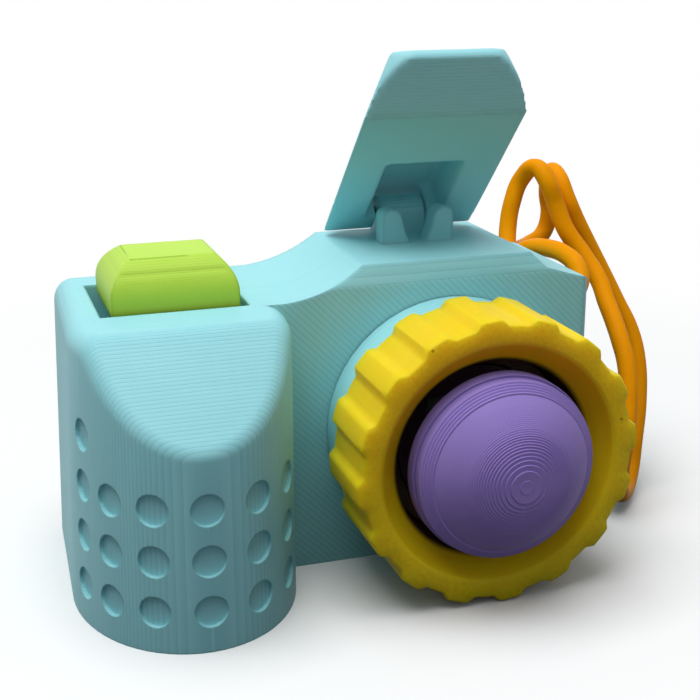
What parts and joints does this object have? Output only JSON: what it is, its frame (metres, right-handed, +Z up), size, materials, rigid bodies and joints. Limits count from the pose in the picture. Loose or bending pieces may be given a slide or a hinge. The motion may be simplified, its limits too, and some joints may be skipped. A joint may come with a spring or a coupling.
{
  "type": "camera fidget toy",
  "caption": "Camera-shaped fidget toy with a turning lobed lens ring, click buttons on lens and shutter, a tilting flash lid and a wrist strap.",
  "frame": {"origin": "on the resting surface under the middle of the object's box, strap left out", "axes": "+X to the right seen from the lens side, +Y from the lens to the back, +Z up"},
  "size_m": [0.1015, 0.0661, 0.0755],
  "materials": {
    "blue_print": "matte, fine printed layer lines",
    "lime_print": "satin, fine printed layer lines",
    "yellow_print": "matte, rough front face",
    "violet_print": "satin, ringed by printed layers",
    "strap_rubber": "smooth, softly glossy",
    "switch_black": "satin",
    "switch_clear": "milky",
    "switch_blue": "satin",
    "brass": "bare",
    "steel": "bare"
  },
  "bodies": {
    "camera_body": {"body_shell": "blue_print", "lens_barrel": "blue_print", "ring_collar": "yellow_print", "strap": "strap_rubber", "lens_switch_base": "switch_black", "lens_switch_cover": "switch_clear", "lens_switch_spring": "steel", "lens_switch_contact_1": "brass", "lens_switch_contact_2": "brass", "shutter_switch_base": "switch_black", "shutter_switch_cover": "switch_clear", "shutter_switch_spring": "steel", "shutter_switch_contact_1": "brass", "shutter_switch_contact_2": "brass"},
    "flash": {"flash_lid": "blue_print", "hinge_pin": "steel"},
    "shutter": {"shutter_button": "lime_print", "shutter_switch_stem": "switch_blue"},
    "lens_press": {"lens_button": "violet_print", "lens_switch_stem": "switch_blue"},
    "ring": {"lens_ring": "yellow_print"}
  },
  "joints": [
    {"name": "flash_hinge", "type": "hinge", "parent": "camera_body", "child": "flash", "pos_m": [0.0168, 0.02405, 0.04845], "axis": [-1, 0, 0], "range_deg": [-44.4, 60]},
    {"name": "shutter_press", "type": "slide", "parent": "camera_body", "child": "shutter", "axis": [0, 0, -1], "range_m": [0, 0.004], "stiffness_N_per_m": 75, "springref_m": -0.005, "deforming": ["shutter_switch_spring"]},
    {"name": "lens_press", "type": "slide", "parent": "camera_body", "child": "lens_press", "axis": [0, 1, 0], "range_m": [0, 0.004], "stiffness_N_per_m": 75, "springref_m": -0.005, "deforming": ["lens_switch_spring"]},
    {"name": "ring_turn", "type": "hinge", "parent": "camera_body", "child": "ring", "pos_m": [0.017, -0.0126, 0.021], "axis": [0, -1, 0], "continuous": true}
  ]
}
